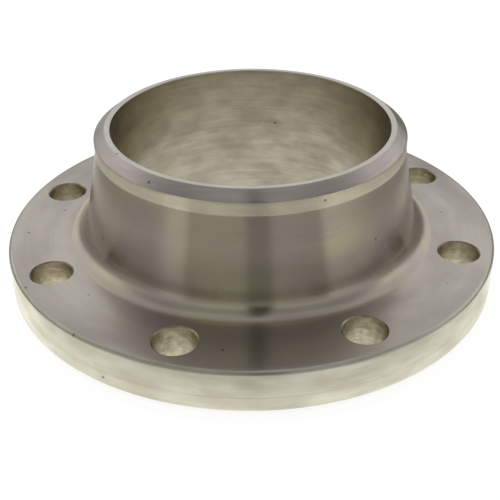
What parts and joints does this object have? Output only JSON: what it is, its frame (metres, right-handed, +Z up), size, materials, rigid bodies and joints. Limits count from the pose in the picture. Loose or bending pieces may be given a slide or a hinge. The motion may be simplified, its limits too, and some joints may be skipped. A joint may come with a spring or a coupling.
{
  "type": "weld neck flange",
  "caption": "Round pipe flange with a tapered weld neck, a bevelled weld end, a straight bore, a raised gasket face and a circle of bolt holes.",
  "frame": {"origin": "centre of the raised gasket face, which the flange stands on", "axes": "+Z up the bore, towards the weld end; the bolt holes straddle the X and Y axes"},
  "size_m": [0.2794, 0.2794, 0.0889],
  "materials": {
    "turned_stainless_steel": "satin, fine turning marks all round, with a grooved gasket face"
  },
  "bodies": {
    "root": {"flange_forging": "turned_stainless_steel"}
  },
  "joints": []
}
